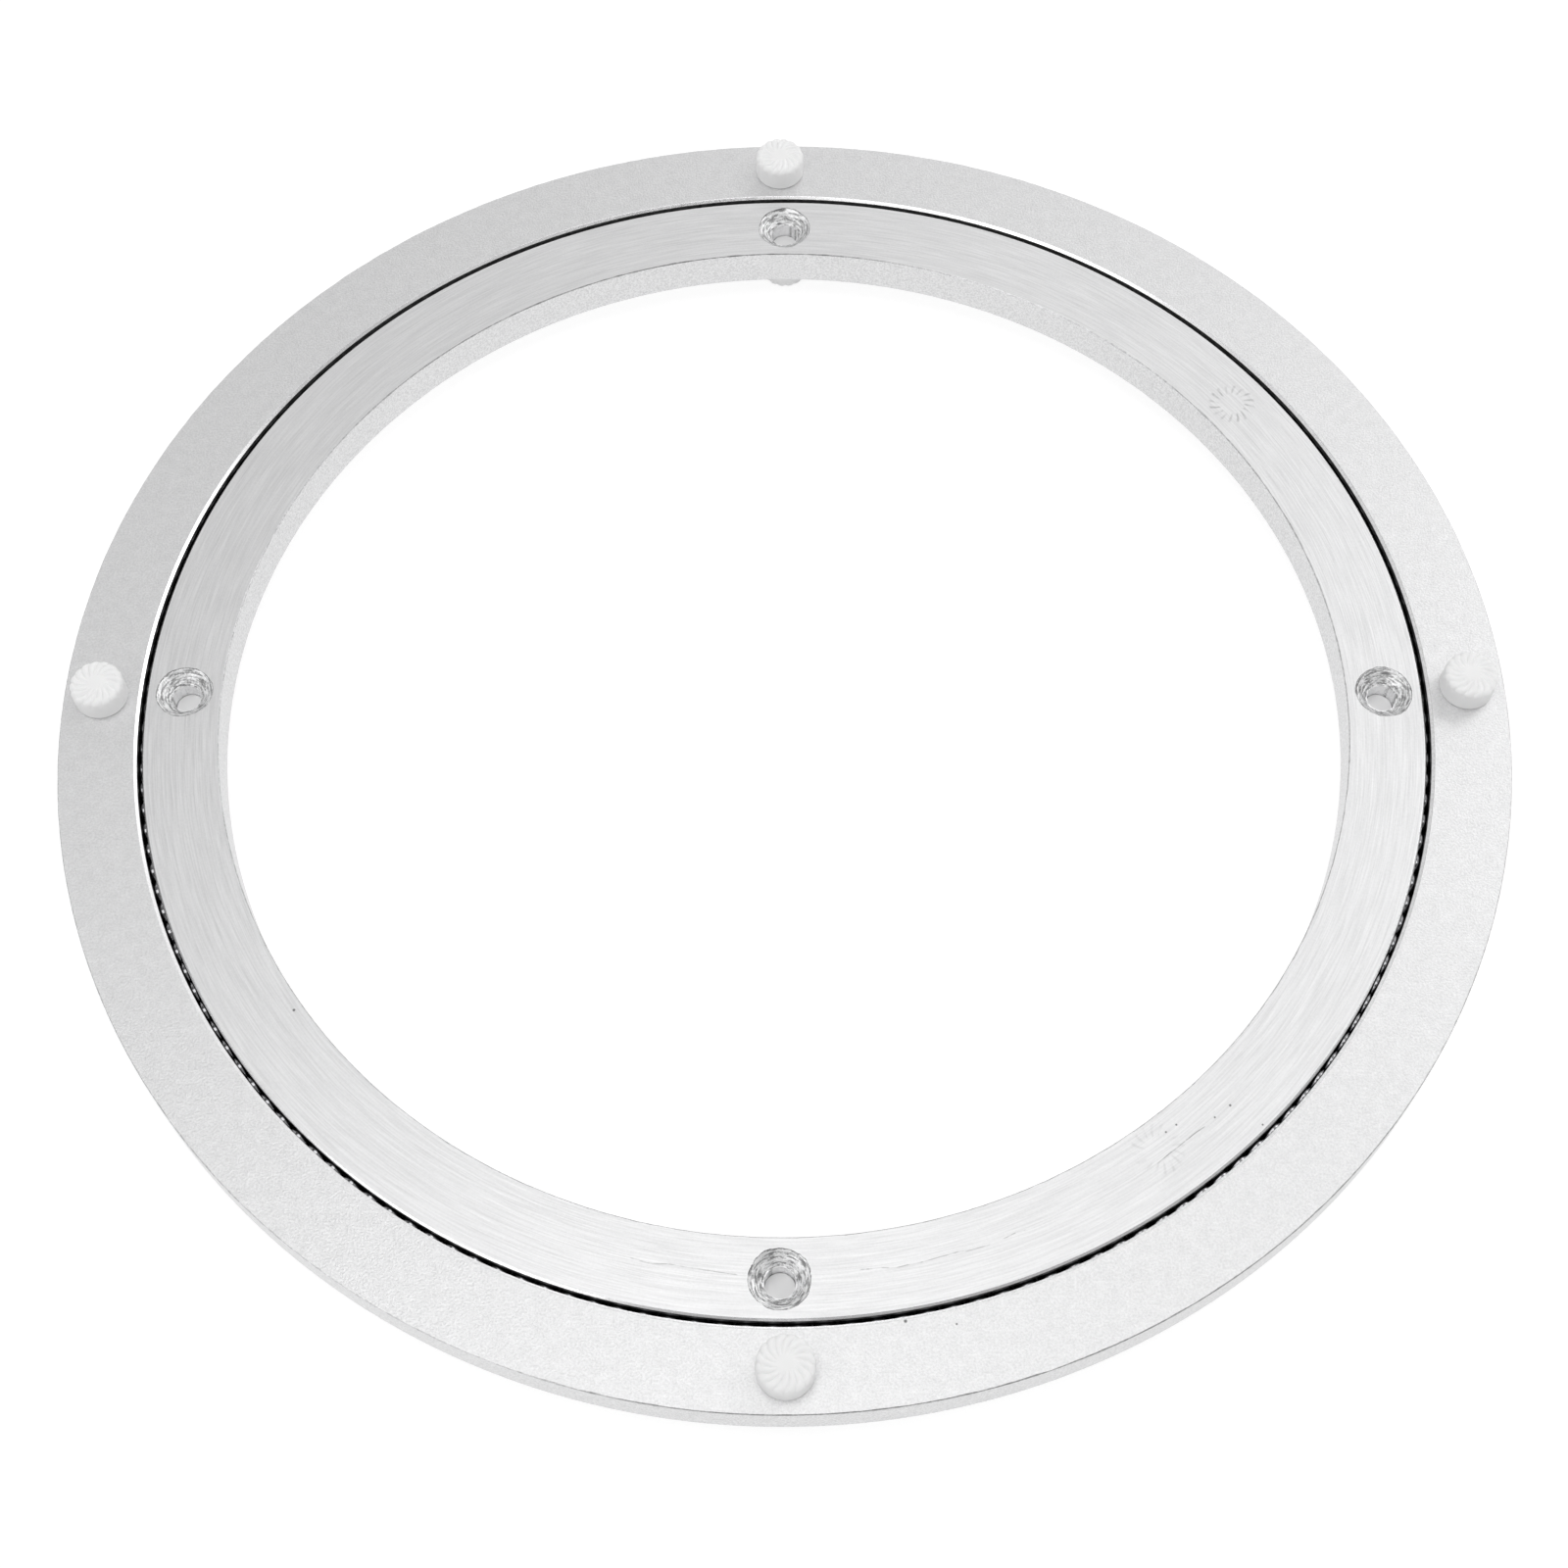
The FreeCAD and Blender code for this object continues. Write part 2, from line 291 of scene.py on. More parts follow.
# Node helpers for the finishes
class NodeSheet:
    """A material's node tree, with short calls that add nodes and join them."""

    def __init__(self, name):
        self.material = bpy.data.materials.new(name)
        self.material.use_nodes = True
        self.tree = self.material.node_tree
        self.shader = self.tree.nodes["Principled BSDF"]
        self.output = self.tree.nodes["Material Output"]

    def add(self, kind, settings=None, **inputs):
        node = self.tree.nodes.new(kind)
        for name, value in (settings or {}).items():
            setattr(node, name, value)
        for name, value in inputs.items():
            self.feed(node.inputs[name.replace("_", " ")], value)
        return node

    def feed(self, socket, value):
        if isinstance(value, bpy.types.NodeSocket):
            self.tree.links.new(value, socket)
        else:
            socket.default_value = value

    def sum(self, operation, first, second=0.0, third=0.0):
        node = self.tree.nodes.new("ShaderNodeMath")
        node.operation = operation
        for socket, value in zip(node.inputs, (first, second, third)):
            self.feed(socket, value)
        return node.outputs[0]

    def vector(self, operation, first, second=(0, 0, 0)):
        node = self.tree.nodes.new("ShaderNodeVectorMath")
        node.operation = operation
        self.feed(node.inputs[0], first)
        self.feed(node.inputs[1], second)
        return node.outputs["Value"] if operation in ("LENGTH", "DISTANCE") else node.outputs[0]

    def place(self):
        return self.add("ShaderNodeTexCoord").outputs["Object"]

    def radius(self):
        """Distance from the bearing's axis."""
        flat = self.vector("MULTIPLY", self.place(), (1, 1, 0))
        return self.vector("LENGTH", flat)

    def height_from_middle(self):
        """How far up or down from the rings' mid height."""
        split = self.add("ShaderNodeSeparateXYZ", Vector=self.place())
        return self.sum("ABSOLUTE", self.sum("SUBTRACT", split.outputs["Z"], RING_MIDDLE))

    def streaks(self, pitch, length, detail=2.0, roughness=0.6):
        """Noise from 0 to 1 drawn out round the bearing's axis, as a turning tool leaves it."""
        flat = self.vector("MULTIPLY", self.place(), (1, 1, 0))
        around = self.add("ShaderNodeVectorMath", {"operation": "SCALE"})
        self.feed(around.inputs[0], self.vector("NORMALIZE", flat))
        around.inputs["Scale"].default_value = RIM / length
        rise = self.add("ShaderNodeCombineXYZ", Z=self.sum("MULTIPLY", self.radius(), 1 / pitch))
        spot = self.vector("ADD", around.outputs[0], rise.outputs[0])
        node = self.add("ShaderNodeTexNoise", Scale=1.0, Detail=detail, Roughness=roughness)
        self.feed(node.inputs["Vector"], spot)
        return node.outputs[0]

    def hole_rings(self, circle, pitch):
        """Noise round the axis of the nearest of four holes on a circle, paler down the hole."""
        breaks = 2.2
        apart = 7
        flat = self.vector("MULTIPLY", self.place(), (1, 1, 0))
        outward = self.vector("NORMALIZE", flat)
        quarter = self.vector("FLOOR", self.vector("ADD", outward, (0.5, 0.5, 0.5)))
        middle = self.vector("MULTIPLY", quarter, (circle, circle, 0))
        from_middle = self.vector("SUBTRACT", flat, middle)
        around = self.vector("MULTIPLY", self.vector("NORMALIZE", from_middle), (breaks, breaks, 0))
        distance = self.vector("LENGTH", from_middle)
        rise = self.add("ShaderNodeCombineXYZ", Z=self.sum("MULTIPLY", distance, 1 / pitch))
        own = self.vector("MULTIPLY", quarter, (apart, apart, 0))
        spot = self.vector("ADD", self.vector("ADD", around, rise.outputs[0]), own)
        node = self.add("ShaderNodeTexNoise", Scale=1.0, Detail=2.0, Roughness=0.6)
        self.feed(node.inputs["Vector"], spot)
        hole = bpy.context.scene.ring_sizes.hole / 2
        plain_wall = self.range(distance, hole + 0.05 * MM, hole + 0.15 * MM, 0.12, 0.0)
        return self.sum("ADD", node.outputs[0], plain_wall)

    def speckle(self, grain, detail=2.0, roughness=0.5):
        """Noise from 0 to 1 whose coarsest grain has that size."""
        node = self.add("ShaderNodeTexNoise", Scale=1 / grain, Detail=detail, Roughness=roughness)
        self.feed(node.inputs["Vector"], self.place())
        return node.outputs[0]

    def range(self, value, low, high, new_low, new_high):
        node = self.add("ShaderNodeMapRange")
        for socket, number in zip(node.inputs, (value, low, high, new_low, new_high)):
            self.feed(socket, number)
        return node.outputs[0]

    def tint(self, colour, shade):
        """The colour darkened by a factor that varies over the surface."""
        node = self.add("ShaderNodeMix", {"data_type": "RGBA", "blend_type": "MULTIPLY"})
        node.inputs[0].default_value = 1.0
        node.inputs[6].default_value = (*colour, 1)
        self.tree.links.new(shade, node.inputs[7])
        return node.outputs[2]

    def bump(self, height, distance, strength=1.0):
        node = self.add("ShaderNodeBump", Strength=strength, Distance=distance, Height=height)
        return node.outputs[0]

    def angle(self, about=(0, 0, 0)):
        """Angle round an upright axis through a place, in radians."""
        away = self.vector("SUBTRACT", self.place(), about)
        split = self.add("ShaderNodeSeparateXYZ", Vector=away)
        return self.sum("ARCTAN2", split.outputs["Y"], split.outputs["X"])

    def band(self, value, middle, half, soft):
        """1 where a value lies within half of its middle, and 0 from soft further out."""
        off = self.sum("ABSOLUTE", self.sum("SUBTRACT", value, middle))
        return self.range(off, half, half + soft, 1.0, 0.0)

    def darken(self, shade, mask, strength):
        """The shade lowered where the mask is 1."""
        return self.sum("MULTIPLY", shade, self.range(mask, 0.0, 1.0, 1.0, 1.0 - strength))

    def marks(self, shade, scratches, specks):
        """Fine scratches along the turning lines and small dark specks."""
        half_line = 0.05 * MM
        fade = 0.1 * MM
        end_fade = 0.004
        speck_strength = 0.75
        radius = self.radius()
        angle = self.angle()
        breaks = self.range(self.speckle(1.6 * MM, detail=3.0), 0.4, 0.55, 0.25, 1.0)
        wander = self.range(self.speckle(9.0 * MM), 0.3, 0.7, -0.35 * MM, 0.35 * MM)
        path = self.sum("ADD", radius, wander)
        for track, begin, end, strength in scratches:
            middle = math.radians((begin + end) / 2)
            along = self.band(angle, middle, math.radians((end - begin) / 2), end_fade)
            across = self.band(path, track * MM, half_line, fade)
            mask = self.sum("MULTIPLY", self.sum("MULTIPLY", along, across), breaks)
            shade = self.darken(shade, mask, strength)
        for track, turn, size in specks:
            spot = polar_place(track * MM, turn, RING_HIGH)
            away = self.vector("DISTANCE", self.place(), spot)
            dark = self.range(away, size * MM / 2, size * MM, 1.0, 0.0)
            shade = self.darken(shade, dark, speck_strength)
        return shade

    def pad_imprint(self, shade, place, strength):
        """The swirl that a pad's lobes have left on the face, as a ring of curved dashes."""
        curl = 5.0 / (5.2 * MM)
        centre = polar_place(place[0] * MM, place[1], RING_HIGH)
        away = self.vector("DISTANCE", self.place(), centre)
        ring = self.band(away, 3.9 * MM, 0.9 * MM, 0.5 * MM)
        spokes = self.sum("MULTIPLY", self.angle(centre), bpy.context.scene.pad_sizes.lobes)
        wave = self.sum("SINE", self.sum("MULTIPLY_ADD", away, curl, spokes))
        dashes = self.range(wave, 0.2, 0.9, 0.0, 1.0)
        rubbed = self.range(self.speckle(2.5 * MM, detail=3.0), 0.4, 0.6, 0.2, 1.0)
        mask = self.sum("MULTIPLY", self.sum("MULTIPLY", ring, rubbed), dashes)
        return self.darken(shade, mask, strength)

    def set(self, **values):
        for name, value in values.items():
            self.feed(self.shader.inputs[name.replace("_", " ")], value)


def turned_finish(colour):
    """Aluminium faced on a lathe, with fine broken lines round the axis."""
    sheet = NodeSheet("turned_aluminium")
    fine = sheet.streaks(0.34 * MM, 12 * MM, detail=1.0)
    broad = sheet.streaks(1.1 * MM, 40 * MM)
    grit = sheet.speckle(0.5 * MM, detail=3.0, roughness=0.7)
    lines = sheet.sum("MULTIPLY_ADD", broad, 0.12, fine)
    height = sheet.sum("MULTIPLY_ADD", grit, 0.5, lines)
    shade = sheet.range(height, 0.44, 1.18, 0.82, 1.04)
    marked = sheet.marks(shade, INNER_SCRATCHES, INNER_SPECKS)
    for place, strength in PAD_IMPRINTS:
        marked = sheet.pad_imprint(marked, place, strength)
    sheet.set(Base_Color=sheet.tint(colour, marked), Metallic=0.85, Roughness=0.46,
              Normal=sheet.bump(height, 0.05 * MM, 0.5))
    return sheet.material


def blasted_finish(colour):
    """Aluminium blasted with fine grit, matt and faintly mottled."""
    sheet = NodeSheet("blasted_aluminium")
    grit = sheet.speckle(0.45 * MM, detail=2.0, roughness=0.7)
    cloud = sheet.speckle(2.5 * MM, detail=2.0)
    height = sheet.sum("MULTIPLY_ADD", cloud, 0.3, grit)
    shade = sheet.range(height, 0.35, 0.95, 0.8, 1.04)
    marked = sheet.marks(shade, (), OUTER_SPECKS)
    sheet.set(Base_Color=sheet.tint(colour, marked), Metallic=0.85, Roughness=0.46,
              Normal=sheet.bump(grit, 0.1 * MM, 0.8))
    return sheet.material


def tooled_finish(colour, hole_circle):
    """Aluminium torn into rings by the countersink tool, with the rings' painted shade and painted
    highlights as dark and bright streaks, and a painted dark line along its rim.
    """
    sheet = NodeSheet("tooled_aluminium")
    tear = sheet.speckle(0.35 * MM, detail=3.0, roughness=0.7)
    rings = sheet.hole_rings(hole_circle, 0.36 * MM)
    face = (RING_HIGH - RING_LOW) / 2
    # Painted shade: a ragged dark line along the countersink's rim at the ring's face.
    ragged_height = sheet.sum("MULTIPLY_ADD", tear, -0.2 * MM, sheet.height_from_middle())
    rim = sheet.range(ragged_height, face - 0.26 * MM, face - 0.14 * MM, 1.0, 0.25)
    ridges = sheet.sum("MULTIPLY_ADD", tear, 0.4, rings)
    # Painted shade and painted highlights: the rings' noise darkens and brightens the colour in
    # streaks round the hole.
    shade = sheet.sum("MULTIPLY", rim, sheet.range(ridges, 0.58, 0.78, 0.36, 1.18))
    sheet.set(Base_Color=sheet.tint(colour, shade), Metallic=0.85, Roughness=0.38,
              Normal=sheet.bump(ridges, 0.25 * MM, 1.0))
    return sheet.material


def cut_edge_finish(colour):
    """The narrow chamfers and broken edges, cut last and left bright."""
    sheet = NodeSheet("bright_cut_edge")
    nick = sheet.speckle(0.6 * MM, detail=3.0, roughness=0.7)
    sheet.set(Base_Color=sheet.tint(colour, sheet.range(nick, 0.3, 0.6, 0.85, 1.0)), Metallic=1.0,
              Roughness=sheet.range(nick, 0.3, 0.7, 0.3, 0.12))
    return sheet.material


def painted_dark_edge_finish(colour):
    """The broken edges of the bore and the rim, coloured dark to paint a dark line along them."""
    sheet = NodeSheet("painted_dark_edge")
    nick = sheet.speckle(0.9 * MM, detail=3.0, roughness=0.7)
    # Painted shade: the edges' colour is lowered to draw a dark line along the bore and the rim.
    sheet.set(Base_Color=sheet.tint(colour, sheet.range(nick, 0.35, 0.65, 0.45, 0.75)), Metallic=1.0,
              Roughness=0.3)
    return sheet.material


def wall_finish(colour):
    """The bore's and the rim's walls, blasted coarse enough to sparkle, and coloured darker than the
    faces as painted shade on the upright sides.
    """
    sheet = NodeSheet("blasted_wall")
    grit = sheet.speckle(0.45 * MM, detail=2.0, roughness=0.8)
    # Partly painted shade: the grit's varying tone is real, and the range sits below the faces' to
    # darken the upright walls.
    shade = sheet.range(grit, 0.38, 0.6, 0.75, 0.96)
    sheet.set(Base_Color=sheet.tint(colour, shade), Metallic=0.85, Roughness=0.4,
              Normal=sheet.bump(grit, 0.15 * MM, 0.8))
    return sheet.material


def plug_finish(colour):
    """Aluminium turned smooth where the filler plug was faced flush with the rim, coloured darker as
    painted shade that dims its reflection of the floor.
    """
    sheet = NodeSheet("turned_plug")
    lines = sheet.speckle(0.5 * MM, detail=3.0, roughness=0.7)
    # Painted shade: the colour sits low so that the plug's end does not shine white.
    sheet.set(Base_Color=sheet.tint(colour, sheet.range(lines, 0.3, 0.7, 0.66, 0.82)), Metallic=0.85,
              Roughness=0.42, Normal=sheet.bump(lines, 0.05 * MM, 0.5))
    return sheet.material


def race_finish(colour):
    """The slit's walls and the races, coloured dark as painted shade of the narrow slit."""
    sheet = NodeSheet("painted_shade_race")
    film = sheet.speckle(1.2 * MM)
    # Painted shade: a dark colour stands in for the shade down in the slit.
    sheet.set(Base_Color=sheet.tint(colour, sheet.range(film, 0.3, 0.7, 0.12, 0.26)),
              Metallic=0.7, Roughness=0.4)
    return sheet.material


def ball_finish(colour):
    """Polished bearing steel, its colour kept dark as painted shade of the slit, which dims its
    glints.
    """
    sheet = NodeSheet("polished_steel")
    haze = sheet.speckle(1.5 * MM)
    sheet.set(Base_Color=(*colour, 1), Metallic=1.0, Roughness=sheet.range(haze, 0.3, 0.7, 0.05, 0.12))
    return sheet.material


def rubber_finish(colour):
    """Soft white moulded rubber that lets a little light through."""
    sheet = NodeSheet("white_rubber")
    skin = sheet.speckle(0.3 * MM, detail=3.0)
    cloud = sheet.speckle(4.0 * MM)
    sheet.set(Base_Color=sheet.tint(colour, sheet.range(cloud, 0.3, 0.7, 0.97, 1.0)),
              Roughness=0.5, Subsurface_Weight=0.06, Subsurface_Radius=(1.0, 1.0, 1.0),
              Subsurface_Scale=0.8 * MM, Normal=sheet.bump(skin, 0.01 * MM, 0.3))
    return sheet.material


# Mesh helpers
def new_piece(name, mesh, finishes):
    """Turns a bmesh into an object with those finishes."""
    bmesh.ops.recalc_face_normals(mesh, faces=mesh.faces)
    data = bpy.data.meshes.new(name)
    mesh.to_mesh(data)
    mesh.free()
    piece = bpy.data.objects.new(name, data)
    bpy.context.collection.objects.link(piece)
    for finish in finishes:
        data.materials.append(finish)
    return piece


def smooth_faces(piece, crease=math.radians(35)):
    """Shades a piece smooth, with flats that stay flat beside their small roundings."""
    piece.data.shade_smooth()
    piece.data.set_sharp_from_angle(angle=crease)
    weight = piece.modifiers.new("Flat faces", "WEIGHTED_NORMAL")
    weight.keep_sharp = True


def rounded(corner, before, after, size):
    """Points that round one corner of an outline over that length of each side."""
    steps = 4
    corner = Vector(corner)
    start = corner + (Vector(before) - corner).normalized() * size
    end = corner + (Vector(after) - corner).normalized() * size
    points = []
    for step in range(steps + 1):
        t = step / steps
        points.append((1 - t) ** 2 * start + 2 * t * (1 - t) * corner + t ** 2 * end)
    return points


def rounded_outline(corners):
    """An outline of (radius, height, rounding) corners with each corner rounded over."""
    places = [(radius, height) for radius, height, size in corners]
    points = []
    for number, (radius, height, size) in enumerate(corners):
        before = places[number - 1]
        after = places[(number + 1) % len(places)]
        points += rounded((radius, height), before, after, size)
    return points


def chamfered(radius, height, inward, upward):
    """The two corners of a 45 degree chamfer in place of a square one, in the outline's order.

    inward and upward are the chamfer's size, signed towards the metal.
    """
    on_wall = (radius, height + upward, SOFT)
    on_face = (radius + inward, height, SOFT)
    wall_first = (inward > 0) == (upward < 0)
    return (on_wall, on_face) if wall_first else (on_face, on_wall)


def revolve(outline, segments):
    """A ring whose section at each angle is what outline(angle) gives."""
    mesh = bmesh.new()
    rows = []
    for step in range(segments):
        angle = math.tau * step / segments
        rows.append([mesh.verts.new((p[0] * math.cos(angle), p[0] * math.sin(angle), p[1]))
                     for p in outline(angle)])
    for row, following in zip(rows, rows[1:] + rows[:1]):
        for number in range(len(row)):
            mesh.faces.new((row[number - 1], row[number], following[number], following[number - 1]))
    return mesh


def lathe_solid(outline, segments):
    """A closed solid round its own axis; outline(angle) runs from the axis to the axis."""
    mesh = bmesh.new()
    first = outline(0)
    top = mesh.verts.new((0, 0, first[0][1]))
    bottom = mesh.verts.new((0, 0, first[-1][1]))
    rows = []
    for step in range(segments):
        angle = math.tau * step / segments
        rows.append([mesh.verts.new((p[0] * math.cos(angle), p[0] * math.sin(angle), p[1]))
                     for p in outline(angle)[1:-1]])
    for row, following in zip(rows, rows[1:] + rows[:1]):
        mesh.faces.new((top, row[0], following[0]))
        for near, far, next_near, next_far in zip(row, row[1:], following, following[1:]):
            mesh.faces.new((near, far, next_far, next_near))
        mesh.faces.new((bottom, following[-1], row[-1]))
    return mesh


def cut_away(piece, tools):
    """Subtracts the tools from a piece and deletes them."""
    for tool in tools:
        change = piece.modifiers.new("Cut", "BOOLEAN")
        change.object = tool
        change.operation = "DIFFERENCE"
        change.solver = "MANIFOLD"
        change.material_mode = "TRANSFER"
    graph = bpy.context.evaluated_depsgraph_get()
    cut = bpy.data.meshes.new_from_object(piece.evaluated_get(graph))
    piece.modifiers.clear()
    piece.data = cut
    cut.name = piece.name
    for tool in tools:
        bpy.data.objects.remove(tool)


def quarter_places(radius, turn=0.0):
    """The four places on that circle."""
    return [Vector((radius * math.cos(turn + k * math.tau / QUARTERS),
                    radius * math.sin(turn + k * math.tau / QUARTERS), 0))
            for k in range(QUARTERS)]


def circle_radius(node):
    """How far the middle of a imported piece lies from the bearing's axis."""
    low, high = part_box(node)
    middle = (low + high) / 2
    return math.hypot(middle.x, middle.y)


def tool_noise(angle, rate, depth, seed):
    """Noise round a hole, from -1 to 1, that wraps on itself."""
    apart = 7.3
    x = math.cos(angle) * rate
    y = math.sin(angle) * rate + seed * apart
    return noise.noise(Vector((x, y, depth)))


def sort_faces(mesh, chamfer):
    """Gives a ring's slit and race, its cut edges and its plain walls their own finishes."""
    upright = 0.2
    level = 0.97
    mesh.normal_update()
    half = (RING_HIGH - RING_LOW) / 2
    ball_circle = SLIT_INSIDE + bpy.context.scene.ring_sizes.slit / 2
    for face in mesh.faces:
        middle = face.calc_center_median()
        at_slit = abs(math.hypot(middle.x, middle.y) - ball_circle) < race_reach()
        slope = abs(face.normal.z)
        if at_slit and abs(middle.z - RING_MIDDLE) < half - chamfer:
            # The slit's walls and races take the finish that carries the slit's painted shade.
            face.material_index = PAINTED_SLIT_SHADE
        elif slope < upright:
            face.material_index = WALL
        elif slope < level:
            # Broken edges away from the slit take the finish with the painted dark line.
            face.material_index = CUT_EDGE if at_slit else PAINTED_DARK_EDGE


def ring_finishes(face_finish, colour):
    """The materials of one ring, in the order of FACE, PAINTED_SLIT_SHADE, CUT_EDGE, WALL and PAINTED_DARK_EDGE."""
    edges = [cut_edge_finish(colour), wall_finish(colour), painted_dark_edge_finish(colour)]
    return [face_finish, race_finish(colour), *edges]


def ridge_height(angle, along, pitch, seed):
    """Height of a chattering tool's ridges at a place on its cone, as a share of the chatter."""
    climb = 0.7
    drift = 2.2 * tool_noise(angle, 1.3, along / (1.5 * MM), seed + 20)
    turn = (along / pitch + drift) % 1.0
    step = turn / climb if turn < climb else (1 - turn) / (1 - climb)
    hold = 0.6 + 1.1 * tool_noise(angle, 3.0, along / (0.9 * MM), seed)
    tear = tool_noise(angle, 9, along / (0.4 * MM), seed + 40)
    fine = tool_noise(angle, 22, along / (0.16 * MM), seed + 80)
    wander = tool_noise(angle, 1.5, 0, seed * 3.1)
    return hold * (step - 0.5) + 0.5 * tear + 0.3 * fine + 1.6 * wander


def countersink_tool(place, from_top, finish, seed):
    """The cutter of one countersunk hole, with the ridges of a chattering tool on its cone."""
    sizes = bpy.context.scene.ring_sizes
    hole = sizes.hole / 2
    wide = sizes.countersink / 2
    reach = wide - hole
    rows = 56
    segments = 224
    fade_in = 0.4 * MM
    overshoot = 0.6 * MM
    face = RING_HIGH if from_top else RING_LOW
    other = RING_LOW if from_top else RING_HIGH
    way = 1 if from_top else -1
    lip = sizes.lip

    def outline(angle):
        points = [(0, face + way * overshoot)]
        for row in range(rows + 1):
            along = lip + (1 - row / rows) * (reach + overshoot - lip)
            rise = sizes.chatter * min(1.0, (along - lip) / fade_in)
            shift = rise * ridge_height(angle, along, sizes.chatter_pitch, seed)
            points.append((hole + along + shift, face - way * (reach - along)))
        points.append((hole, face - way * (reach - lip)))
        points.append((hole, other - way * overshoot))
        points.append((0, other - way * overshoot))
        return points

    tool = new_piece("countersink_tool", lathe_solid(outline, segments), [finish])
    tool.location = place
    return tool


def drilled_tool(place_from, place_to, diameter, finish):
    """The cutter of a plain round hole between two places."""
    mesh = bmesh.new()
    run = place_to - place_from
    bmesh.ops.create_cone(mesh, cap_ends=True, segments=64, radius1=diameter / 2,
                          radius2=diameter / 2, depth=run.length)
    tool = new_piece("drilled_tool", mesh, [finish])
    tool.rotation_mode = "QUATERNION"
    tool.rotation_quaternion = run.to_track_quat("Z", "Y")
    tool.location = (place_from + place_to) / 2
    return tool


def race_reach():
    """How far the bottom of a vee race lies from the ball circle."""
    balls = bpy.context.scene.ball_sizes
    return (balls.diameter / 2 + balls.clearance) * math.sqrt(2)


def wear(angle, seed):
    """A number round 1 that wanders along an edge."""
    rate = 60.0
    depth = 0.7
    spot = Vector((math.cos(angle), math.sin(angle), seed)) * rate
    return 1 + depth * noise.noise(spot)


class BEARING_OT_inner_ring(bpy.types.Operator):
    """Makes the fixed inner ring with its race and countersunk screw holes"""
    bl_idname = "bearing.inner_ring"
    bl_label = "Inner Ring"

    def execute(self, context):
        sizes = context.scene.ring_sizes
        colour = context.scene.finishes.aluminium
        bore = SLIT_INSIDE - sizes.inner_width
        pitch = SLIT_INSIDE + sizes.slit / 2
        apex = pitch - race_reach()
        mouth = SLIT_INSIDE - apex

        def outline(angle):
            worn = sizes.edge_break * wear(angle, 1.0)
            chamfer = sizes.inner_chamfer
            return rounded_outline([
                *chamfered(bore, RING_LOW, sizes.edge_break, sizes.edge_break),
                *chamfered(bore, RING_HIGH, worn, -worn),
                *chamfered(SLIT_INSIDE, RING_HIGH, -chamfer, -chamfer),
                (SLIT_INSIDE, RING_MIDDLE + mouth, SOFT),
                (apex, RING_MIDDLE, 3 * SOFT),
                (SLIT_INSIDE, RING_MIDDLE - mouth, SOFT),
                *chamfered(SLIT_INSIDE, RING_LOW, -chamfer, chamfer),
            ])

        mesh = revolve(outline, RING_SEGMENTS)
        sort_faces(mesh, sizes.inner_chamfer)
        ring = new_piece("turned_inner_ring", mesh, ring_finishes(turned_finish(colour), colour))
        hole_circle = circle_radius("foot_1")
        tooled = tooled_finish(colour, hole_circle)
        places = quarter_places(hole_circle)
        cut_away(ring, [countersink_tool(place, True, tooled, seed)
                        for seed, place in enumerate(places)])
        smooth_faces(ring)
        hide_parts("inner_ring")
        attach(ring, "base")
        return {"FINISHED"}


class BEARING_OT_outer_ring(bpy.types.Operator):
    """Makes the turning outer ring with its race, pad holes and filler hole"""
    bl_idname = "bearing.outer_ring"
    bl_label = "Outer Ring"

    def execute(self, context):
        sizes = context.scene.ring_sizes
        colour = context.scene.finishes.aluminium
        slit_outside = SLIT_INSIDE + sizes.slit
        pitch = SLIT_INSIDE + sizes.slit / 2
        apex = pitch + race_reach()
        mouth = apex - slit_outside

        def outline(angle):
            chamfer = sizes.outer_chamfer
            deep = sizes.outer_chamfer_depth
            worn = sizes.edge_break * wear(angle, 7.0)
            return rounded_outline([
                *chamfered(slit_outside, RING_LOW, chamfer, deep),
                (slit_outside, RING_MIDDLE - mouth, SOFT),
                (apex, RING_MIDDLE, 3 * SOFT),
                (slit_outside, RING_MIDDLE + mouth, SOFT),
                *chamfered(slit_outside, RING_HIGH, chamfer, -deep),
                *chamfered(RIM, RING_HIGH, -worn, -worn),
                *chamfered(RIM, RING_LOW, -sizes.edge_break, sizes.edge_break),
            ])

        mesh = revolve(outline, RING_SEGMENTS)
        sort_faces(mesh, sizes.outer_chamfer_depth)
        finish = blasted_finish(colour)
        ring = new_piece("blasted_outer_ring", mesh, ring_finishes(finish, colour))
        hole_circle = circle_radius("top_pad_1")
        tooled = tooled_finish(colour, hole_circle)
        low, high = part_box("top_pad_1")
        middle = (low + high) / 2
        turn = math.atan2(middle.y, middle.x)
        places = quarter_places(hole_circle, turn)
        tools = [countersink_tool(place, False, tooled, seed + QUARTERS)
                 for seed, place in enumerate(places)]
        along = Vector((math.cos(FILLER_ANGLE), math.sin(FILLER_ANGLE), 0))
        lift = Vector((0, 0, RING_MIDDLE))
        tools.append(drilled_tool(along * pitch + lift, along * (RIM + MM) + lift,
                                  sizes.filler_hole, finish))
        cut_away(ring, tools)
        smooth_faces(ring)
        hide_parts("outer_ring")
        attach(ring, "turntable")
        return {"FINISHED"}


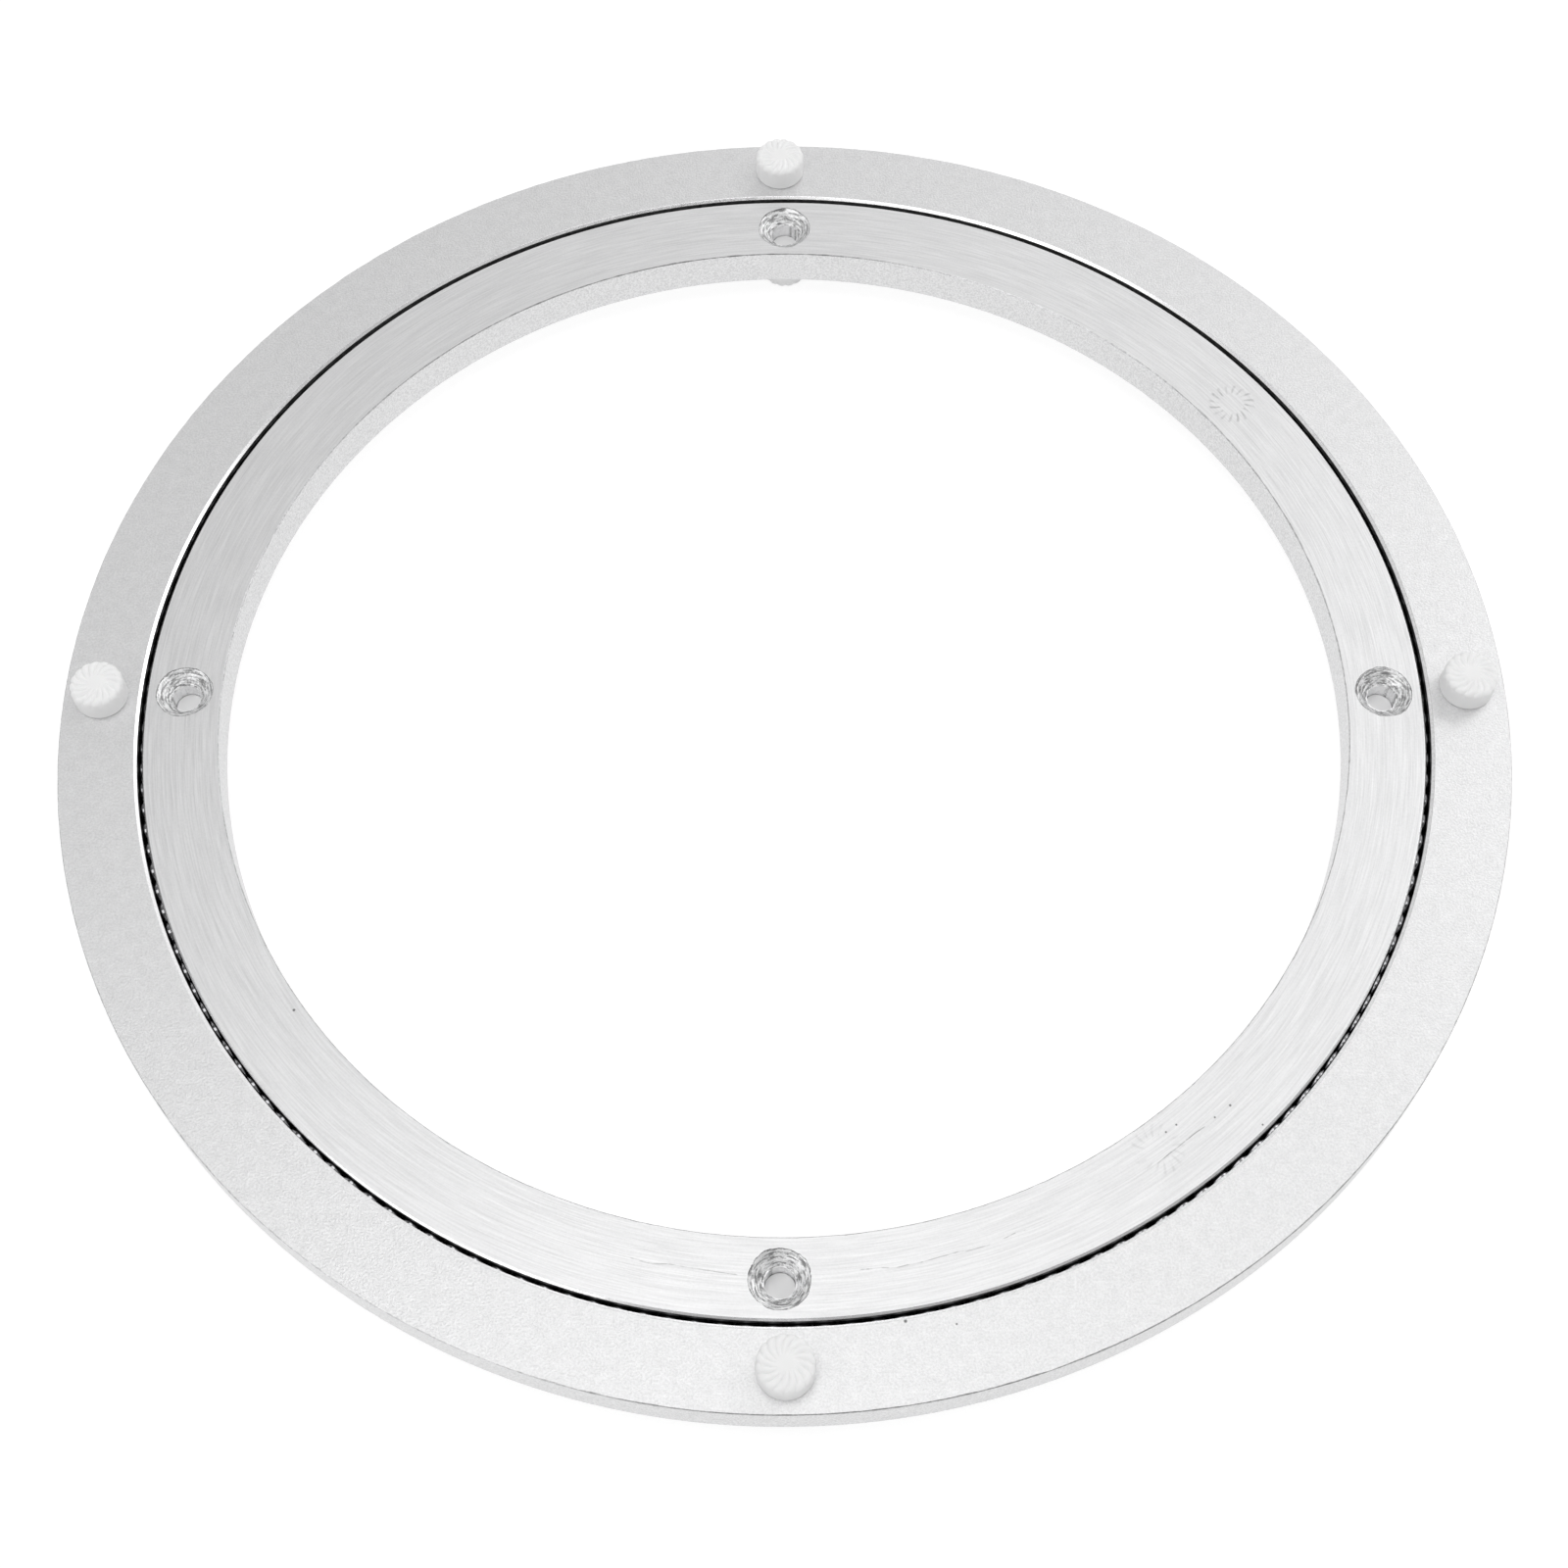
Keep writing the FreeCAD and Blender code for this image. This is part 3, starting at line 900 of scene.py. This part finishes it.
class BEARING_OT_balls(bpy.types.Operator):
    """Makes the full circle of polished balls between the races"""
    bl_idname = "bearing.balls"
    bl_label = "Balls"

    def execute(self, context):
        sizes = context.scene.ball_sizes
        pitch = SLIT_INSIDE + context.scene.ring_sizes.slit / 2
        ball = bmesh.new()
        bmesh.ops.create_uvsphere(ball, u_segments=24, v_segments=16, radius=sizes.diameter / 2)
        skin = [point.co.copy() for point in ball.verts]
        patches = [[point.index for point in face.verts] for face in ball.faces]
        ball.free()
        points = []
        faces = []
        for number in range(sizes.count):
            turn = Matrix.Rotation(math.tau * number / sizes.count, 4, "Z")
            place = turn @ Matrix.Translation((pitch, 0, RING_MIDDLE))
            faces += [[len(points) + corner for corner in patch] for patch in patches]
            points += [place @ point for point in skin]
        data = bpy.data.meshes.new("polished_balls")
        data.from_pydata(points, [], faces)
        data.materials.append(ball_finish(context.scene.finishes.steel))
        data.shade_smooth()
        balls = bpy.data.objects.new("polished_balls", data)
        context.collection.objects.link(balls)
        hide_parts("bearing_balls")
        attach(balls, "ball_train")
        return {"FINISHED"}


def quarter_round(steps):
    """Angles from 0 to a right angle, in that many steps."""
    return [math.pi / 2 * step / steps for step in range(steps + 1)]


def pad_profile(head, tall, stem, stem_radius, sizes):
    """Half the section of a pad, from the middle of its top to the end of its stem.

    Each point has its radius, its height from the face that the pad sits on, how strongly the
    lobes show there and the way that they push.
    """
    flat = head - sizes.shoulder
    wall_top = tall - sizes.shoulder
    fade_out = 1.1 * MM
    foot_round = 0.6 * MM
    step_in = 0.2 * MM
    dome = 0.2 * MM
    rim_lobes = 0.55
    calm_steps = 6
    top_steps = 14
    wall_steps = 6
    up = (0, 1)
    outward = (1, 0)

    points = []
    for step in range(1, calm_steps):
        points.append((sizes.calm_centre * step / calm_steps, tall, 0.0, up))
    for step in range(top_steps):
        share = step / top_steps
        radius = sizes.calm_centre + (flat - sizes.calm_centre) * share
        points.append((radius, tall, math.sin(share * math.pi / 2), up))
    for angle in quarter_round(12):
        radius = flat + sizes.shoulder * math.sin(angle)
        height = tall - sizes.shoulder * (1 - math.cos(angle))
        lobe = 1.0 - (1.0 - rim_lobes) * angle / (math.pi / 2)
        points.append((radius, height, lobe, (math.sin(angle), math.cos(angle))))
    for step in range(1, wall_steps + 1):
        share = step / wall_steps
        lobe = rim_lobes * (1 - share) ** 1.5
        points.append((head, wall_top - fade_out * share, lobe, outward))
    for angle in quarter_round(4):
        radius = head - foot_round * (1 - math.cos(angle))
        points.append((radius, foot_round * (1 - math.sin(angle)), 0.0, outward))
    points.append((stem_radius + step_in, 0.0, 0.0, outward))
    points.append((stem_radius, -step_in, 0.0, outward))
    for angle in quarter_round(6):
        radius = stem_radius - dome * (1 - math.cos(angle))
        points.append((radius, -stem + dome * (1 - math.sin(angle)), 0.0, outward))
    return points


def pad_surface(node, sizes, hole):
    """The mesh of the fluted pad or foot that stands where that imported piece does."""
    low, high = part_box(node)
    is_foot = low.z < RING_LOW
    head = (high.x - low.x) / 2
    tall = RING_LOW - low.z if is_foot else high.z - RING_HIGH
    stem = high.z - RING_LOW if is_foot else RING_HIGH - low.z
    stem_ease = 0.05 * MM
    puffed = 0.7
    profile = pad_profile(head, tall, stem, hole / 2 - stem_ease, sizes)

    def outline(angle):
        points = [(0, tall)]
        for radius, height, lobe, push in profile:
            reach = max(0.0, (radius - sizes.calm_centre) / (head - sizes.calm_centre))
            phase = angle + sizes.twist * reach
            puff = abs(math.sin(phase * sizes.lobes / 2)) ** puffed
            sink = sizes.groove_depth * lobe * (1 - puff)
            points.append((radius - push[0] * sink, height - push[1] * sink))
        points.append((0, -stem))
        return points

    mesh = lathe_solid(outline, PAD_SEGMENTS)
    middle = (low + high) / 2
    if is_foot:
        bmesh.ops.transform(mesh, matrix=Matrix.Rotation(math.pi, 4, "X"), verts=mesh.verts)
    seat = RING_LOW if is_foot else RING_HIGH
    bmesh.ops.translate(mesh, vec=(middle.x, middle.y, seat), verts=mesh.verts)
    return mesh


class BEARING_OT_pads(bpy.types.Operator):
    """Makes the four swirl-fluted pads on top and the four feet beneath"""
    bl_idname = "bearing.pads"
    bl_label = "Pads and Feet"

    def execute(self, context):
        sizes = context.scene.pad_sizes
        hole = context.scene.ring_sizes.hole
        rubber = rubber_finish(context.scene.finishes.rubber)
        for kind, body in (("top_pad", "turntable"), ("foot", "base")):
            for number in range(1, QUARTERS + 1):
                node = f"{kind}_{number}"
                pad = new_piece(f"fluted_{node}", pad_surface(node, sizes, hole), [rubber])
                smooth_faces(pad, math.radians(60))
                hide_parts(node)
                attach(pad, body)
        return {"FINISHED"}


class BEARING_OT_plug(bpy.types.Operator):
    """Gives the ball filler plug its finish"""
    bl_idname = "bearing.plug"
    bl_label = "Filler Plug"

    def execute(self, context):
        finish = plug_finish(context.scene.finishes.aluminium)
        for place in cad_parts["ball_filler_plug"].material_slots:
            place.material = finish
        return {"FINISHED"}


def add_lamp(name, place, width, power):
    """A square area lamp at a place, facing the middle of the floor."""
    data = bpy.data.lights.new(name, "AREA")
    data.shape = "SQUARE"
    data.size = width
    data.energy = power
    lamp = bpy.data.objects.new(name, data)
    bpy.context.collection.objects.link(lamp)
    lamp.location = place
    lamp.rotation_mode = "QUATERNION"
    lamp.rotation_quaternion = Vector(place).to_track_quat("Z", "Y")
    return lamp


def seen_rays(tree):
    """1 for rays from the camera, from a gloss or through glass, and 0 for the rest."""
    path = tree.nodes.new("ShaderNodeLightPath")
    total = path.outputs["Is Camera Ray"]
    for name in ("Is Glossy Ray", "Is Transmission Ray"):
        larger = tree.nodes.new("ShaderNodeMath")
        larger.operation = "MAXIMUM"
        tree.links.new(total, larger.inputs[0])
        tree.links.new(path.outputs[name], larger.inputs[1])
        total = larger.outputs[0]
    return total


def white_world(studio):
    """A sky of even light that the metal sees as white near the horizon and greyer overhead."""
    world = bpy.data.worlds.new("studio_sky")
    world.use_nodes = True
    tree = world.node_tree
    sky = tree.nodes["Background"]
    sky.inputs["Color"].default_value = (1, 1, 1, 1)
    direction = tree.nodes.new("ShaderNodeTexCoord")
    height = tree.nodes.new("ShaderNodeSeparateXYZ")
    tree.links.new(direction.outputs["Generated"], height.inputs[0])
    tilt = tree.nodes.new("ShaderNodeVectorMath")
    tilt.operation = "DOT_PRODUCT"
    tree.links.new(direction.outputs["Generated"], tilt.inputs[0])
    tilt.inputs[1].default_value = studio.ceiling_tilt
    tilted = tree.nodes.new("ShaderNodeMath")
    tilted.operation = "ADD"
    tree.links.new(tilt.outputs["Value"], tilted.inputs[0])
    tilted.inputs[1].default_value = studio.ceiling
    ceiling = tree.nodes.new("ShaderNodeMath")
    ceiling.operation = "MAXIMUM"
    tree.links.new(tilted.outputs[0], ceiling.inputs[0])
    ceiling.inputs[1].default_value = studio.ceiling_floor
    look = tree.nodes.new("ShaderNodeMapRange")
    for socket, value in zip(look.inputs[1:4], (SKY_WHITE, SKY_CEILING, 1.0)):
        socket.default_value = value
    tree.links.new(height.outputs["Z"], look.inputs["Value"])
    tree.links.new(ceiling.outputs[0], look.inputs["To Max"])
    mix = tree.nodes.new("ShaderNodeMapRange")
    mix.inputs["To Min"].default_value = studio.sky
    tree.links.new(look.outputs[0], mix.inputs["To Max"])
    tree.links.new(seen_rays(tree), mix.inputs["Value"])
    tree.links.new(mix.outputs[0], sky.inputs["Strength"])
    bpy.context.scene.world = world


def room_wall(name, span, foot, tops, brightness):
    """A curved stretch of the room's wall, which only the metal shows.

    span is the angles of its two ends, and tops its height at each of them.
    """
    steps = 24
    mesh = bmesh.new()
    edge = []
    for step in range(steps + 1):
        share = step / steps
        angle = math.radians(span[0] + (span[1] - span[0]) * share)
        top = tops[0] + (tops[1] - tops[0]) * share
        x = ROOM_REACH * math.cos(angle)
        y = ROOM_REACH * math.sin(angle)
        edge.append((mesh.verts.new((x, y, foot)), mesh.verts.new((x, y, top))))
    for near, far in zip(edge, edge[1:]):
        mesh.faces.new((near[0], far[0], far[1], near[1]))
    sheet = NodeSheet(name)
    sheet.set(Base_Color=(0, 0, 0, 1), Roughness=1.0, Specular_IOR_Level=0.0,
              Emission_Color=(1, 1, 1, 1), Emission_Strength=brightness)
    wall = new_piece(name, mesh, [sheet.material])
    wall.visible_camera = False
    wall.visible_diffuse = False
    wall.visible_transmission = False
    wall.visible_shadow = False


def floor_finish():
    """White paper that looks white where it is lit and keeps a soft shadow."""
    sheet = NodeSheet("white_paper")
    tree = sheet.tree
    tree.nodes.remove(sheet.shader)
    plain = sheet.add("ShaderNodeBsdfDiffuse", Color=(0.9, 0.9, 0.9, 1))
    seen = sheet.add("ShaderNodeBsdfDiffuse", Color=(0.3, 0.3, 0.3, 1))
    glow = sheet.add("ShaderNodeEmission", Color=(1, 1, 1, 1), Strength=0.8)
    bright = tree.nodes.new("ShaderNodeAddShader")
    tree.links.new(seen.outputs[0], bright.inputs[0])
    tree.links.new(glow.outputs[0], bright.inputs[1])
    mix = tree.nodes.new("ShaderNodeMixShader")
    tree.links.new(seen_rays(tree), mix.inputs[0])
    tree.links.new(plain.outputs[0], mix.inputs[1])
    tree.links.new(bright.outputs[0], mix.inputs[2])
    tree.links.new(mix.outputs[0], sheet.output.inputs["Surface"])
    return sheet.material


class BEARING_OT_studio(bpy.types.Operator):
    """Makes the floor, the sky, the soft lamps, the mirrored room and the camera"""
    bl_idname = "bearing.studio"
    bl_label = "Studio"

    def execute(self, context):
        scene = context.scene
        studio = scene.studio
        white_world(studio)

        mesh = bmesh.new()
        bmesh.ops.create_grid(mesh, x_segments=1, y_segments=1, size=4.0)
        floor = new_piece("paper_floor", mesh, [floor_finish()])

        add_lamp("overhead_lamp", OVERHEAD_LAMP, studio.overhead_width, studio.overhead_power)
        add_lamp("side_lamp", SIDE_LAMP, studio.side_width, studio.side_power)
        for name, span, foot, tops, setting, share in ROOM:
            room_wall(name, span, foot, tops, share * getattr(studio, setting))

        data = bpy.data.cameras.new("camera")
        data.lens = studio.lens
        data.sensor_width = 36
        data.shift_x, data.shift_y = CAMERA_SHIFT
        data.clip_start = 0.01
        camera = bpy.data.objects.new("camera", data)
        context.collection.objects.link(camera)
        camera.location = Vector((0, 0, RING_HIGH)) + MM * Vector(CAMERA_PLACE)
        yaw, tilt, roll = (math.radians(turn) for turn in CAMERA_TURN)
        camera.rotation_mode = "QUATERNION"
        camera.rotation_quaternion = (Matrix.Rotation(yaw, 3, "Z") @ Matrix.Rotation(tilt, 3, "X")
                                      @ Matrix.Rotation(roll, 3, "Z")).to_quaternion()
        scene.camera = camera
        scene.view_settings.view_transform = "Standard"
        return {"FINISHED"}


class BEARING_PT_sidebar(bpy.types.Panel):
    """Lists the sizes and the steps of the bearing's finish"""
    bl_idname = "BEARING_PT_sidebar"
    bl_label = "Ring Bearing"
    bl_space_type = "VIEW_3D"
    bl_region_type = "UI"
    bl_category = "Bearing"

    def draw(self, context):
        layout = self.layout
        for name in GROUPS:
            box = layout.box()
            box.label(text=name.replace("_", " ").capitalize())
            group = getattr(context.scene, name)
            for value in GROUPS[name].__annotations__:
                box.prop(group, value)
        for operator in STEPS:
            layout.operator(operator.bl_idname)


GROUPS = {
    "ring_sizes": RingSizes,
    "ball_sizes": BallSizes,
    "pad_sizes": PadSizes,
    "finishes": Finishes,
    "studio": Studio,
}
STEPS = (
    BEARING_OT_inner_ring,
    BEARING_OT_outer_ring,
    BEARING_OT_balls,
    BEARING_OT_pads,
    BEARING_OT_plug,
    BEARING_OT_studio,
)


def register():
    for name, group in GROUPS.items():
        bpy.utils.register_class(group)
        setattr(bpy.types.Scene, name, PointerProperty(type=group))
    for kind in (*STEPS, BEARING_PT_sidebar):
        bpy.utils.register_class(kind)


def unregister():
    for kind in (BEARING_PT_sidebar, *reversed(STEPS)):
        bpy.utils.unregister_class(kind)
    for name, group in GROUPS.items():
        delattr(bpy.types.Scene, name)
        bpy.utils.unregister_class(group)


def main():
    register()
    bpy.ops.bearing.inner_ring()
    bpy.ops.bearing.outer_ring()
    bpy.ops.bearing.balls()
    bpy.ops.bearing.pads()
    bpy.ops.bearing.plug()
    bpy.ops.bearing.studio()


if __name__ == "__main__":
    main()
